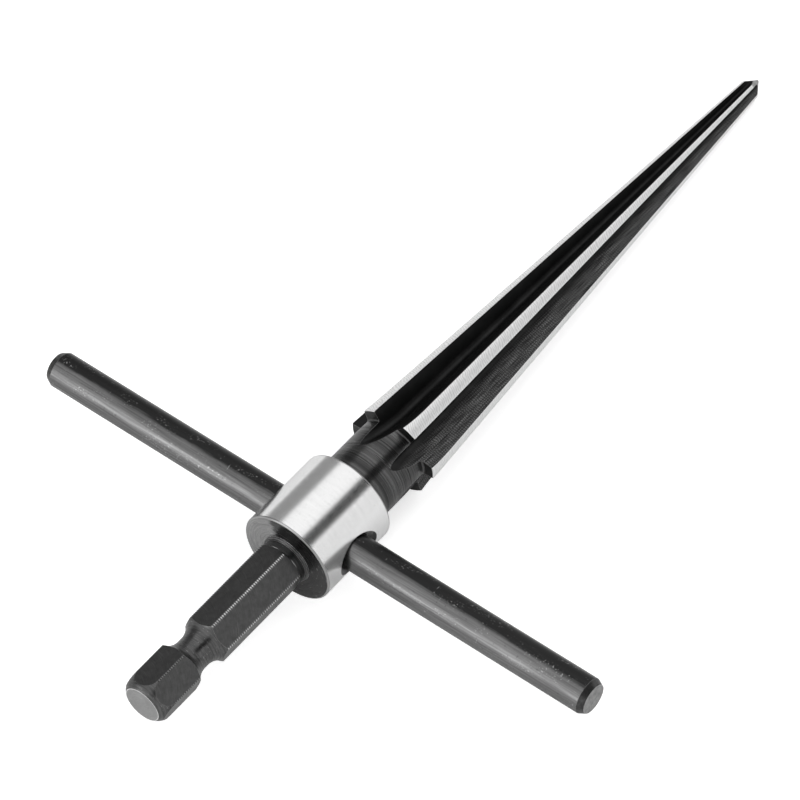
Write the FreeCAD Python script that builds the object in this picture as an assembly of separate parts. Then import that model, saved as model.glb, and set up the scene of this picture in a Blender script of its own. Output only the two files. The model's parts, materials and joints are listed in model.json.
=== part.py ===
import FreeCAD, Part
import math
import os

# Taper reamer with a hexagon shank, and a cross bar for turning it by hand.
# The steel body is one turned, milled and ground piece. The bar is a second piece, pressed
# through the hub. The body is made along its own axis, from the shank's end at x = 0 to the
# point, and the whole tool is then laid down as it comes to rest on a level surface.

# Stations along the body
shank_length = 28.2
hub_length = 12.45
neck_length = 9.05
cutter_length = 78.0
point_length = 2.3

# Hexagon shank
hex_across_flats = 6.35
hex_corner_break = 0.06
hex_turn = 47.3
end_round_radius = 2.75
end_round_length = 2.1
ball_groove_diameter = 4.7
ball_groove_radius = 2.9
ball_groove_station = 9.5
ball_groove_floor = 0.55
flat_runout_length = 0.35

# Turned relief and root collar, where the shank meets the hub
relief_length = 1.0
relief_margin = 0.06
root_collar_height = 0.3
root_collar_break = 0.1

# Hub and neck
hub_diameter = 13.6
hub_edge_break = 0.25
neck_diameter = 10.1
neck_fillet = 0.3

# Cutter
cutter_large_diameter = 13.3
cutter_small_diameter = 3.2
cutter_edge_break = 0.1
point_flat_diameter = 0.3

# Flutes: their sizes hold at the cutter's large end, and they narrow with the taper
flute_count = 6
flute_turn = -2.0
land_width = 1.8
flute_floor_radius = 0.9
flute_back_radius = 10.0
flute_back_angle = 68.0
flute_runout_radius = 28.0
flute_runout_lead = 4.7

# Cross bar, its hole and the hole's two flared mouths. The lead is from the hub's front face to
# the bar's axis, and the hole is drilled a little below the body's axis
bar_lead = 6.1
bar_diameter = 5.0
bar_length = 87.5
bar_end_length = 0.9
bar_end_depth = 0.45
bar_press_room = 0.01
bar_drop = 0.12
mouth_flare_width = 1.1
mouth_flare_angle = 118.0

# How far the cutting shapes reach past the metal that they cut
cut_overrun = 1.0

# Worked out from the sizes above
hub_start = shank_length
neck_start = hub_start + hub_length
cutter_start = neck_start + neck_length
cutter_end = cutter_start + cutter_length
body_length = cutter_end + point_length
bar_station = hub_start + bar_lead
hub_radius = hub_diameter / 2
neck_radius = neck_diameter / 2
large_radius = cutter_large_diameter / 2
small_radius = cutter_small_diameter / 2
hex_corner_radius = hex_across_flats / math.sqrt(3) - hex_corner_break
relief_radius = hex_across_flats / 2 + relief_margin
relief_end = hub_start - root_collar_height
relief_start = relief_end - relief_length
bar_radius = bar_diameter / 2
bar_hole_radius = bar_radius + bar_press_room
tooth_pitch = 360 / flute_count
land_half_angle = math.degrees(math.asin(land_width / 2 / large_radius))

ORIGIN = FreeCAD.Vector(0, 0, 0)
X_AXIS = FreeCAD.Vector(1, 0, 0)
Y_AXIS = FreeCAD.Vector(0, 1, 0)
Z_AXIS = FreeCAD.Vector(0, 0, 1)


def spot(x, y, z=0.0):
    return FreeCAD.Vector(x, y, z)


def straight(*spots):
    """Straight edges through a row of spots."""
    return [Part.LineSegment(a, b).toShape() for a, b in zip(spots, spots[1:])]


def on_circle(centre, radius, angle):
    """Spot on a circle in the X-Y plane, at an angle in degrees from X."""
    turn = math.radians(angle)
    return centre + spot(radius * math.cos(turn), radius * math.sin(turn))


def rounded(centre, radius, start_angle, end_angle):
    """Arc in the X-Y plane, between two angles in degrees."""
    middle_angle = (start_angle + end_angle) / 2
    ends = [on_circle(centre, radius, angle) for angle in (start_angle, middle_angle, end_angle)]
    return Part.Arc(*ends).toShape()


def first_spot(edge):
    return edge.valueAt(edge.FirstParameter)


def last_spot(edge):
    return edge.valueAt(edge.LastParameter)


def turned(edges):
    """Solid turned about the X axis. Its outline starts and ends on the axis."""
    closing = straight(last_spot(edges[-1]), first_spot(edges[0]))
    return Part.Face(Part.Wire(edges + closing)).revolve(ORIGIN, X_AXIS, 360)


def shank_envelope():
    """The turned limits of the shank: rounded end, ball groove, and corners that run out."""
    end_centre = spot(end_round_length, hex_corner_radius - end_round_radius)
    end_angle = math.degrees(math.acos(-end_round_length / end_round_radius))
    end_arc = rounded(end_centre, end_round_radius, end_angle, 90)
    groove_centre = spot(ball_groove_station, ball_groove_diameter / 2 + ball_groove_radius)
    groove_rise = groove_centre.y - hex_corner_radius
    groove_angle = math.degrees(math.acos(groove_rise / ball_groove_radius))
    groove_fall = rounded(groove_centre, ball_groove_radius, 270 - groove_angle, 270)
    groove_centre.x += ball_groove_floor
    groove_climb = rounded(groove_centre, ball_groove_radius, 270, 270 + groove_angle)
    edges = straight(ORIGIN, first_spot(end_arc))
    edges.append(end_arc)
    edges += straight(last_spot(end_arc), first_spot(groove_fall))
    edges.append(groove_fall)
    edges += straight(last_spot(groove_fall), first_spot(groove_climb))
    edges.append(groove_climb)
    edges += straight(
        last_spot(groove_climb),
        spot(relief_start - flat_runout_length, hex_corner_radius),
        spot(relief_start, relief_radius),
        spot(relief_start, 0),
    )
    return turned(edges)


def hexagon_shank():
    """Six milled flats, within the turned limits of the shank."""
    corner = hex_across_flats / math.sqrt(3)
    angles = [math.radians(hex_turn + 60 * side) for side in range(7)]
    corners = [spot(0, corner * math.cos(a), corner * math.sin(a)) for a in angles]
    prism = Part.Face(Part.makePolygon(corners)).extrude(X_AXIS * relief_start)
    return prism.common(shank_envelope())


def cutter_radius_at(station):
    """Radius of the cutting cone. Past the cutter's end it narrows on to nothing."""
    share = (station - cutter_start) / cutter_length
    return large_radius + (small_radius - large_radius) * share


def turned_blank():
    """Relief, root collar, hub, neck and the cutter's cone, before its flutes are milled."""
    collar_radius = hex_corner_radius
    cutter_corner = cutter_start + cutter_edge_break
    fillet_centre = spot(cutter_start - neck_fillet, neck_radius + neck_fillet)
    fillet = rounded(fillet_centre, neck_fillet, 270, 360)
    edges = straight(
        spot(relief_start, 0),
        spot(relief_start, relief_radius),
        spot(relief_end, relief_radius),
        spot(relief_end, collar_radius - root_collar_break),
        spot(relief_end + root_collar_break, collar_radius),
        spot(hub_start, collar_radius),
        spot(hub_start, hub_radius - hub_edge_break),
        spot(hub_start + hub_edge_break, hub_radius),
        spot(neck_start - hub_edge_break, hub_radius),
        spot(neck_start, hub_radius - hub_edge_break),
        spot(neck_start, neck_radius),
        first_spot(fillet),
    )
    edges.append(fillet)
    edges += straight(
        last_spot(fillet),
        spot(cutter_start, large_radius - cutter_edge_break),
        spot(cutter_corner, cutter_radius_at(cutter_corner)),
        spot(cutter_end, small_radius),
        spot(body_length, point_flat_diameter / 2),
        spot(body_length, 0),
    )
    return turned(edges)


def flute_section(station):
    """Closed outline of one flute across the body, beside a tooth that points along Y.

    The cutting face is flat and stands level with the tooth's middle plane. A small round
    floor joins it to the hollow back, which ends at the heel of the next tooth's land.
    """
    face_height = land_width / 2
    heel_angle = tooth_pitch - land_half_angle
    heel = on_circle(ORIGIN, large_radius, heel_angle)
    back_centre = on_circle(heel, flute_back_radius, flute_back_angle - 90)
    floor_y = face_height + flute_floor_radius
    centre_distance = flute_back_radius - flute_floor_radius
    centre_rise = floor_y - back_centre.y
    floor_centre = spot(back_centre.x - math.sqrt(centre_distance ** 2 - centre_rise ** 2), floor_y)
    join_angle = 180 - math.degrees(math.asin(centre_rise / centre_distance))
    floor = rounded(floor_centre, flute_floor_radius, 270, join_angle)
    back = rounded(back_centre, flute_back_radius, join_angle, flute_back_angle + 90)
    beyond = on_circle(heel, cut_overrun, flute_back_angle)
    outside = large_radius + cut_overrun
    edges = straight(spot(outside, face_height), first_spot(floor))
    edges += [floor, back]
    edges += straight(
        last_spot(back),
        beyond,
        spot(outside, beyond.y),
        spot(outside, face_height),
    )
    wire = Part.Wire(edges)
    wire.rotate(ORIGIN, spot(1, 1, 1), 120)
    wire.scale(cutter_radius_at(station) / large_radius, ORIGIN)
    wire.translate(X_AXIS * station)
    return wire


def flute():
    """One flute: it follows the taper, and the milling cutter's round lifts it out of the neck."""
    full_depth = cutter_start + flute_runout_lead
    first = flute_section(full_depth)
    last = flute_section(body_length + cut_overrun)
    tapered = Part.makeLoft([first, last], True, True)
    floor_height = min(vertex.Y for vertex in first.Vertexes)
    wheel_centre = spot(full_depth, floor_height + flute_runout_radius)
    runout = Part.Face(first).revolve(wheel_centre, Z_AXIS, -90)
    return tapered.fuse(runout)


def reamer_body():
    body = turned_blank().fuse(hexagon_shank())
    cut = flute()
    cuts = []
    for tooth in range(flute_count):
        copy = cut.copy()
        copy.rotate(ORIGIN, X_AXIS, flute_turn + tooth_pitch * tooth)
        cuts.append(copy)
    return body.cut(cuts).cut(bar_hole()).removeSplitter()


def bar_hole():
    """Hole across the hub, with a flared mouth on each side."""
    flare_tangent = math.tan(math.radians(mouth_flare_angle / 2))
    mouth_radius = bar_hole_radius + mouth_flare_width
    outer_radius = mouth_radius + cut_overrun * flare_tangent
    outer_y = hub_radius + cut_overrun
    throat_y = hub_radius - mouth_flare_width / flare_tangent
    edges = straight(
        spot(-outer_y, 0),
        spot(-outer_y, outer_radius),
        spot(-throat_y, bar_hole_radius),
        spot(throat_y, bar_hole_radius),
        spot(outer_y, outer_radius),
        spot(outer_y, 0),
    )
    return across_hub(turned(edges))


def cross_bar():
    """Round bar with a broken edge at each end, reaching equally far on both sides."""
    half = bar_length / 2
    end_radius = bar_radius - bar_end_depth
    edges = straight(
        spot(-half, 0),
        spot(-half, end_radius),
        spot(-half + bar_end_length, bar_radius),
        spot(half - bar_end_length, bar_radius),
        spot(half, end_radius),
        spot(half, 0),
    )
    return across_hub(turned(edges))


def across_hub(shape):
    """Turns a shape made about X to lie along Y, through the hub."""
    shape.rotate(ORIGIN, Z_AXIS, 90)
    shape.translate(spot(bar_station, 0, -bar_drop))
    return shape


def rest_angles():
    """Roll and dip of the tool at rest on the hub's edge and two teeth."""
    half_pitch = tooth_pitch / 2
    roll = half_pitch - 90 - flute_turn
    roll -= tooth_pitch * round(roll / tooth_pitch)
    hub_contact = neck_start - hub_edge_break
    cutter_contact = cutter_start + cutter_edge_break
    corner_angle = math.radians(half_pitch - land_half_angle)
    corner_radius = cutter_radius_at(cutter_contact) * math.cos(corner_angle)
    dip = math.degrees(math.atan2(hub_radius - corner_radius, cutter_contact - hub_contact))
    return roll, dip


def laid_down(shapes):
    """Rolls and tips the tool as it rests, and sets its footprint's middle at the origin."""
    roll, dip = rest_angles()
    for shape in shapes:
        shape.rotate(ORIGIN, X_AXIS, roll)
        shape.rotate(ORIGIN, Y_AXIS, dip)
    box = Part.makeCompound(shapes).optimalBoundingBox(False, False)
    for shape in shapes:
        shape.translate(spot(-box.Center.x, -box.Center.y, -box.ZMin))
    return shapes


def main():
    os.makedirs("parts", exist_ok=True)
    names = ["reamer_body", "cross_bar"]
    shapes = laid_down([reamer_body(), cross_bar()])
    for name, shape in zip(names, shapes):
        shape.exportStep("parts/" + name + ".step")
        print(name, "volume", round(shape.Volume, 2), "solids", len(shape.Solids), "valid", shape.isValid())
    print("roll and dip", rest_angles())


main()
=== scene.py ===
import json
import math

import bmesh
import bpy
import numpy as np
from mathutils import Matrix, Vector


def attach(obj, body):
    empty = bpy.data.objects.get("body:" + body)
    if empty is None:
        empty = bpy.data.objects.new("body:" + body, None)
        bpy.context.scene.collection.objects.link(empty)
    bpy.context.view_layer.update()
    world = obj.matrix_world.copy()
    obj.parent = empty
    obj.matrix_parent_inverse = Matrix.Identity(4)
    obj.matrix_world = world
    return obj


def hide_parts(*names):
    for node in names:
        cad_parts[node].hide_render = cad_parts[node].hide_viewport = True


# Taper reamer: its looks, its stage and its camera.
# Sizes are in millimetres, angles in degrees. Each piece is made in the tool's own frame:
# X runs from the shank's end to the point, and angles go from +Y toward +Z.

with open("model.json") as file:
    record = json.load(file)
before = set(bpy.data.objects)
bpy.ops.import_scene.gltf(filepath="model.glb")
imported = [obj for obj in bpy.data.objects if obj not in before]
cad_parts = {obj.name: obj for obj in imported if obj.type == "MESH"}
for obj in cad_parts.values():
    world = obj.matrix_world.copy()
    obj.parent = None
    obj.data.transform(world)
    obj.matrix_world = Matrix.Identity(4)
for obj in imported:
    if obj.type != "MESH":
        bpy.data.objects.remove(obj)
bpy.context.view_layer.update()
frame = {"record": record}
print("frame loaded")

millimetre = 0.001
mergeDistance = 0.0004 * millimetre
sharpAngle = 17
columnCount = 240

# Where the tool lies: its own frame, from the mounts that the part states
mounts = {mount["name"]: mount for mount in frame["record"]["mounts"]}
toolX = -Vector(mounts["shank_end"]["axis"])
toolY = Vector(mounts["bar_far_end"]["axis"])
toolPlace = Matrix((toolX, toolY, toolX.cross(toolY))).transposed().to_4x4()
toolPlace.translation = Vector(mounts["shank_end"]["pos_m"])


# Mesh making: spots in millimetres, rings of spots, and strips of faces between rings

def startMesh():
    return {"spots": [], "faces": [], "finishes": []}


def addRing(mesh, spots):
    first = len(mesh["spots"])
    mesh["spots"] += [tuple(spot) for spot in spots]
    return list(range(first, len(mesh["spots"])))


def bridge(mesh, ringA, ringB, finishes):
    count = len(ringA)
    if isinstance(finishes, int):
        finishes = [finishes] * count
    for here in range(count):
        after = (here + 1) % count
        mesh["faces"].append((ringA[here], ringA[after], ringB[after], ringB[here]))
        mesh["finishes"].append(finishes[here])


def addRings(mesh, rings, finishes):
    placed = [addRing(mesh, ring) for ring in rings]
    for ringA, ringB in zip(placed, placed[1:]):
        bridge(mesh, ringA, ringB, finishes)
    return placed


def capRing(mesh, ring, finish):
    mesh["faces"].append(tuple(ring))
    mesh["finishes"].append(finish)


def aroundX(station, radius, angles):
    turns = np.radians(angles)
    return np.column_stack((np.full(len(turns), station), radius * np.cos(turns), radius * np.sin(turns)))


def turnedToMatch(ring, reference):
    # The same ring, starting at the spot nearest to the reference's first spot in angle
    def angle(spot):
        return math.atan2(spot[2], spot[1])
    gaps = [abs(math.remainder(angle(spot) - angle(reference[0]), math.tau)) for spot in ring]
    return np.roll(ring, -int(np.argmin(gaps)), axis=0)


def quarterRound(start, end, centre, steps):
    # Station and radius along a quarter round between two spots of an outline
    first = math.atan2(start[1] - centre[1], start[0] - centre[0])
    last = math.atan2(end[1] - centre[1], end[0] - centre[0])
    sweep = math.remainder(last - first, math.tau)
    size = math.dist(start, centre)
    turns = [first + sweep * step / steps for step in range(steps + 1)]
    return [(centre[0] + size * math.cos(turn), centre[1] + size * math.sin(turn)) for turn in turns]


def finishMesh(name, mesh, materials, slopes):
    data = bpy.data.meshes.new(name)
    spots = [[value * millimetre for value in spot] for spot in mesh["spots"]]
    data.from_pydata(spots, [], mesh["faces"])
    data.polygons.foreach_set("material_index", mesh["finishes"])
    shape = bmesh.new()
    shape.from_mesh(data)
    bmesh.ops.remove_doubles(shape, verts=shape.verts, dist=mergeDistance)
    bmesh.ops.recalc_face_normals(shape, faces=shape.faces)
    shape.to_mesh(data)
    shape.free()
    for material in materials:
        data.materials.append(material)
    data.shade_smooth()
    data.set_sharp_from_angle(angle=math.radians(sharpAngle))
    if slopes:
        giveRoundNormals(data, slopes)
    data.transform(toolPlace)
    piece = bpy.data.objects.new(name, data)
    bpy.context.scene.collection.objects.link(piece)
    return piece


def giveRoundNormals(data, slopes):
    # Faces of turned finishes take their true normals. The slope is that of a taper, in radians
    normals = np.zeros((len(data.loops), 3))
    for face in data.polygons:
        slope = slopes.get(face.material_index)
        if slope is None:
            continue
        for loop in face.loop_indices:
            spot = data.vertices[data.loops[loop].vertex_index].co
            outward = Vector((0, spot.y, spot.z)).normalized()
            if face.normal.dot(outward) > 0.9:
                normals[loop] = outward * math.cos(slope) + Vector((math.sin(slope), 0, 0))
    data.normals_split_custom_set(normals.tolist())


# Shading: small helpers for node trees

def addNode(tree, kind, inputs=None, **settings):
    node = tree.nodes.new(kind)
    for name, value in settings.items():
        setattr(node, name, value)
    for key, value in (inputs or {}).items():
        if isinstance(value, bpy.types.NodeSocket):
            tree.links.new(value, node.inputs[key])
        else:
            node.inputs[key].default_value = value
    return node


def calculate(tree, operation, *values, clamp=False):
    inputs = dict(enumerate(values))
    return addNode(tree, "ShaderNodeMath", inputs, operation=operation, use_clamp=clamp).outputs[0]


def plus(tree, first, second):
    return calculate(tree, "ADD", first, second)


def times(tree, first, second):
    return calculate(tree, "MULTIPLY", first, second)


def remap(tree, value, low, high, newLow=0.0, newHigh=1.0):
    inputs = {"Value": value, "From Min": low, "From Max": high, "To Min": newLow, "To Max": newHigh}
    return addNode(tree, "ShaderNodeMapRange", inputs).outputs[0]


def combine(tree, x, y, z):
    return addNode(tree, "ShaderNodeCombineXYZ", {0: x, 1: y, 2: z}).outputs[0]


def vectorMath(tree, operation, first, second):
    return addNode(tree, "ShaderNodeVectorMath", {0: first, 1: second}, operation=operation).outputs


def noise(tree, vector, scale, detail=2.0, roughness=0.5):
    inputs = {"Vector": vector, "Scale": scale, "Detail": detail, "Roughness": roughness}
    return addNode(tree, "ShaderNodeTexNoise", inputs).outputs["Fac"]


def onlyPeaks(tree, value, share, narrowing, sharpness):
    # Where a noise stands out, with crisp borders. A larger share lets more of it stand out
    border = calculate(tree, "MULTIPLY_ADD", share, -narrowing, 0.8)
    above = calculate(tree, "SUBTRACT", value, border)
    return calculate(tree, "MULTIPLY", above, sharpness, clamp=True)


def grey(tone):
    return (tone, tone, tone, 1.0)


def blendGreys(tree, share, first, second):
    return addNode(tree, "ShaderNodeMix", {0: share, 6: first, 7: second}, data_type="RGBA").outputs[2]


def betweenTones(tree, share, look):
    return blendGreys(tree, share, grey(look["dark"]), grey(look["light"]))


def layered(tree, colour, layers):
    # Each layer: how much of it shows at most, where it shows, and its tone
    for share, mask, tone in layers:
        colour = blendGreys(tree, times(tree, mask, share), colour, grey(tone))
    return colour


def startGroup(name, inputs, outputs):
    group = bpy.data.node_groups.new(name, "ShaderNodeTree")
    for labels, direction in ((inputs, "INPUT"), (outputs, "OUTPUT")):
        for label in labels:
            kind = "NodeSocketVector" if label in ("Spot", "Normal") else "NodeSocketFloat"
            group.interface.new_socket(name=label, in_out=direction, socket_type=kind)
    return group, addNode(group, "NodeGroupInput").outputs, addNode(group, "NodeGroupOutput").inputs


def placeGroup(tree, group, **inputs):
    return addNode(tree, "ShaderNodeGroup", inputs, node_tree=group).outputs


def makeToolCoordinates():
    # Where a spot is on the tool, in millimetres, and its turn in degrees from +Y toward +Z
    group, _, out = startGroup("tool coordinates", [], ["Spot", "Station", "Radius", "Turn", "Arc"])
    seen = addNode(group, "ShaderNodeTexCoord").outputs["Object"]
    fromEnd = vectorMath(group, "SUBTRACT", seen, toolPlace.translation)[0]
    axes = [toolPlace.col[number].to_3d() / millimetre for number in range(3)]
    x, y, z = [vectorMath(group, "DOT_PRODUCT", fromEnd, axis)["Value"] for axis in axes]
    radius = calculate(group, "SQRT", plus(group, times(group, y, y), times(group, z, z)))
    fromTop = calculate(group, "ARCTAN2", times(group, y, -1.0), z)
    turn = plus(group, calculate(group, "DEGREES", fromTop), 90.0)
    results = {
        "Spot": combine(group, x, y, z),
        "Station": x,
        "Radius": radius,
        "Turn": turn,
        "Arc": times(group, radius, calculate(group, "RADIANS", turn)),
    }
    for label, socket in results.items():
        group.links.new(socket, out[label])
    return group


def makeToolMarks():
    # Fine parallel marks. Across counts over the marks and Along counts down them
    labels = ["Across", "Along", "Pitch", "Length", "Contrast", "Seed"]
    group, given, out = startGroup("tool marks", labels, ["Marks", "Broad"])
    across = calculate(group, "DIVIDE", given["Across"], given["Pitch"])
    along = calculate(group, "DIVIDE", given["Along"], given["Length"])
    fine = noise(group, combine(group, across, along, given["Seed"]), 1.0, 2.0, 0.6)
    slow = times(group, across, 0.16)
    broad = noise(group, combine(group, slow, along, plus(group, given["Seed"], 7.0)), 1.0)
    for label, value in (("Marks", fine), ("Broad", broad)):
        spread = times(group, plus(group, value, -0.5), given["Contrast"])
        group.links.new(calculate(group, "ADD", spread, 0.5, clamp=True), out[label])
    return group


def makeFeedMarks():
    # Even marks that a cutter leaves at each turn, a little out of step here and there
    group, given, out = startGroup("feed marks", ["Across", "Along", "Pitch", "Jitter"], ["Marks"])
    across = calculate(group, "DIVIDE", given["Across"], given["Pitch"])
    wander = noise(group, combine(group, times(group, across, 0.35), given["Along"], 3.0), 1.0, 1.0)
    phase = plus(group, across, times(group, wander, given["Jitter"]))
    wave = calculate(group, "SINE", times(group, phase, math.tau))
    group.links.new(calculate(group, "MULTIPLY_ADD", wave, 0.5, 0.5), out["Marks"])
    return group


def makeScratches():
    # Sparse bright scratches: a stretched noise of which only the peaks count
    labels = ["Across", "Along", "Width", "Length", "Share", "Seed"]
    group, given, out = startGroup("scratches", labels, ["Mask"])
    across = calculate(group, "DIVIDE", given["Across"], given["Width"])
    along = calculate(group, "DIVIDE", given["Along"], given["Length"])
    value = noise(group, combine(group, across, along, given["Seed"]), 1.0, 1.0)
    group.links.new(onlyPeaks(group, value, given["Share"], 0.5, 12.0), out["Mask"])
    return group


def makeMottle():
    # Small pits and patches in a finish
    group, given, out = startGroup("mottle", ["Spot", "Size", "Share"], ["Mask", "Tone"])
    tone = noise(group, given["Spot"], calculate(group, "DIVIDE", 1.0, given["Size"]), 4.0, 0.65)
    group.links.new(onlyPeaks(group, tone, given["Share"], 0.4, 10.0), out["Mask"])
    group.links.new(remap(group, tone, 0.3, 0.7), out["Tone"])
    return group


def makeWornEdge():
    # Bright metal where an edge has lost its finish, and the edge's rounded normal
    group, given, out = startGroup("worn edge", ["Width", "Spot", "Breakup"], ["Mask", "Normal"])
    width = times(group, given["Width"], millimetre)
    softened = addNode(group, "ShaderNodeBevel", {"Radius": width}, samples=6).outputs[0]
    normal = addNode(group, "ShaderNodeNewGeometry").outputs["Normal"]
    edge = remap(group, vectorMath(group, "DOT_PRODUCT", softened, normal)["Value"], 0.995, 0.9)
    patchy = remap(group, noise(group, given["Spot"], 2.5, 3.0), 0.3, 0.6)
    kept = calculate(group, "SUBTRACT", 1.0, times(group, given["Breakup"], patchy))
    group.links.new(calculate(group, "MULTIPLY", edge, kept, clamp=True), out["Mask"])
    group.links.new(softened, out["Normal"])
    return group


toolCoordinates = makeToolCoordinates()
toolMarks = makeToolMarks()
feedMarks = makeFeedMarks()
scratches = makeScratches()
mottle = makeMottle()
wornEdge = makeWornEdge()


def emptyMaterial(name):
    material = bpy.data.materials.new(name)
    material.use_nodes = True
    material.node_tree.nodes.clear()
    return material, material.node_tree


def startMaterial(name):
    material, tree = emptyMaterial(name)
    shader = addNode(tree, "ShaderNodeBsdfPrincipled", {"Metallic": 1.0})
    addNode(tree, "ShaderNodeOutputMaterial", {"Surface": shader.outputs[0]})
    return material, tree, shader


def setFinish(tree, shader, colour, marks, edge, look):
    # Marks are pressed in, and rougher where they are dark. Edges are a little round
    rough = remap(tree, marks, 0.0, 1.0, look["roughness"] * 1.15, look["roughness"] * 0.85)
    tree.links.new(colour, shader.inputs["Base Color"])
    tree.links.new(rough, shader.inputs["Roughness"])
    inputs = {
        "Height": marks,
        "Strength": look["relief"],
        "Distance": look["depth"] * millimetre,
        "Normal": edge["Normal"],
    }
    tree.links.new(addNode(tree, "ShaderNodeBump", inputs).outputs[0], shader.inputs["Normal"])


def spreadLight(tree, shader, amount, axis, through, acrossRings):
    # Marks spread the light across themselves. The tangent runs round the axis
    seen = addNode(tree, "ShaderNodeTexCoord").outputs["Object"]
    fromAxis = vectorMath(tree, "SUBTRACT", seen, through)[0]
    tree.links.new(vectorMath(tree, "CROSS_PRODUCT", axis, fromAxis)[0], shader.inputs["Tangent"])
    shader.inputs["Anisotropic"].default_value = amount
    shader.inputs["Anisotropic Rotation"].default_value = 0.25 if acrossRings else 0.0


# Painted shade darkens a turned face past an angle round the axis, and rim is its bare border. Both are off
# at first
turnedLook = {
    "across": "Station", "dark": 0.07, "light": 0.15, "worn": 0.5, "pitch": 0.15, "contrast": 2.5,
    "ringLength": 50.0, "lineShare": 0.3, "lines": 0.25, "edge": 0.7, "edgeWidth": 0.1, "breakup": 0.4,
    "grain": 0.15, "grainSize": 0.5, "grainTone": 0.05, "paintedShadeFrom": 400.0, "paintedShadeShare": 0.0,
    "paintedShadeTone": 0.03, "ragged": 14.0, "rimStart": 99.0, "rimBlend": 0.08, "roughness": 0.32, "spread": 0.6,
    "depth": 0.003, "relief": 0.3,
}


def turnedSteel(name, changes):
    # Rings that a lathe or a grinding wheel leaves round the tool's axis
    look = {**turnedLook, **changes}
    material, tree, shader = startMaterial(name)
    place = placeGroup(tree, toolCoordinates)
    across = place[look["across"]]
    rings = placeGroup(tree, toolMarks, Across=across, Along=place["Turn"], Pitch=look["pitch"],
                       Length=look["ringLength"], Contrast=look["contrast"], Seed=0.0)
    lines = placeGroup(tree, scratches, Across=across, Along=place["Turn"], Width=look["pitch"],
                       Length=12.0, Share=look["lineShare"], Seed=3.0)
    grain = placeGroup(tree, mottle, Spot=place["Spot"], Size=look["grainSize"], Share=0.5)
    edge = placeGroup(tree, wornEdge, Width=look["edgeWidth"], Spot=place["Spot"], Breakup=look["breakup"])
    tone = plus(tree, times(tree, rings["Marks"], 0.65), times(tree, rings["Broad"], 0.35))
    raggedTurn = plus(tree, place["Turn"], times(tree, rings["Marks"], look["ragged"]))
    # Painted shade: past an angle round the axis the face is darkened, with a ragged border
    paintedShade = remap(tree, raggedTurn, look["paintedShadeFrom"] + 4.0, look["paintedShadeFrom"] + 10.0)
    rim = remap(tree, place["Radius"], look["rimStart"], look["rimStart"] + look["rimBlend"])
    colour = layered(tree, betweenTones(tree, tone, look), [
        (look["paintedShadeShare"], paintedShade, look["paintedShadeTone"]),
        (look["grain"], grain["Mask"], look["grainTone"]),
        (look["lines"], lines["Mask"], look["worn"]),
        (look["edge"], edge["Mask"], look["worn"]),
        (0.9, rim, look["worn"]),
    ])
    setFinish(tree, shader, colour, rings["Marks"], edge, look)
    spreadLight(tree, shader, look["spread"], toolX, toolPlace.translation, True)
    return material


cornerLook = {
    "dark": 0.04, "light": 1.0, "pitch": 0.34, "jitter": 0.5, "wander": 0.05, "roughness": 0.35,
    "depth": 0.01, "relief": 0.2,
}


def cornerTeeth(tree, place, beforeGroove):
    # Small even teeth that turning left at the hexagon's corners. They fade in behind the ball groove
    along = times(tree, place["Turn"], cornerLook["wander"])
    feed = placeGroup(tree, feedMarks, Across=place["Station"], Along=along, Pitch=cornerLook["pitch"],
                      Jitter=cornerLook["jitter"])
    behind = remap(tree, place["Station"], shank["teethStart"], shank["teethFull"], beforeGroove, 1.0)
    return feed["Marks"], behind


milledLook = {
    "dark": 0.06, "light": 0.1, "worn": 0.35, "bend": 0.0, "pitch": 0.18, "markLength": 2.5,
    "contrast": 2.0, "lines": 0.25, "lineShare": 0.3, "edge": 0.5, "edgeWidth": 0.09, "breakup": 0.5,
    "grainSize": 0.7, "teeth": 0.0, "teethReach": 4.5, "teethCore": 3.0, "roughness": 0.36,
    "depth": 0.003, "relief": 0.3,
}


def milledSteel(name, changes):
    # Flats milled and blacked: marks across the tool, bent by the cutter's round
    look = {**milledLook, **changes}
    material, tree, shader = startMaterial(name)
    place = placeGroup(tree, toolCoordinates)
    side = calculate(tree, "FLOORED_MODULO", plus(tree, place["Turn"], -shank["turn"]), 60.0)
    sideways = times(tree, plus(tree, side, -30.0), look["bend"])
    sag = times(tree, times(tree, sideways, sideways), 0.4)
    bent = plus(tree, place["Station"], plus(tree, sideways, sag))
    marks = placeGroup(tree, toolMarks, Across=bent, Along=place["Arc"], Pitch=look["pitch"],
                       Length=look["markLength"], Contrast=look["contrast"], Seed=1.0)
    lines = placeGroup(tree, scratches, Across=bent, Along=place["Arc"], Width=look["pitch"],
                       Length=look["markLength"], Share=look["lineShare"], Seed=5.0)
    grain = placeGroup(tree, mottle, Spot=place["Spot"], Size=look["grainSize"], Share=0.4)
    edge = placeGroup(tree, wornEdge, Width=look["edgeWidth"], Spot=place["Spot"], Breakup=look["breakup"])
    teeth, behind = cornerTeeth(tree, place, 0.0)
    fromCorner = calculate(tree, "MINIMUM", side, calculate(tree, "SUBTRACT", 60.0, side))
    byCorner = remap(tree, fromCorner, look["teethReach"], look["teethCore"])
    toothed = times(tree, times(tree, byCorner, teeth), behind)
    tone = plus(tree, times(tree, marks["Marks"], 0.45), times(tree, grain["Tone"], 0.55))
    colour = layered(tree, betweenTones(tree, tone, look), [
        (look["teeth"], toothed, look["worn"]),
        (look["lines"], lines["Mask"], look["worn"]),
        (look["edge"], edge["Mask"], look["worn"]),
    ])
    setFinish(tree, shader, colour, marks["Marks"], edge, look)
    return material


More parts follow.
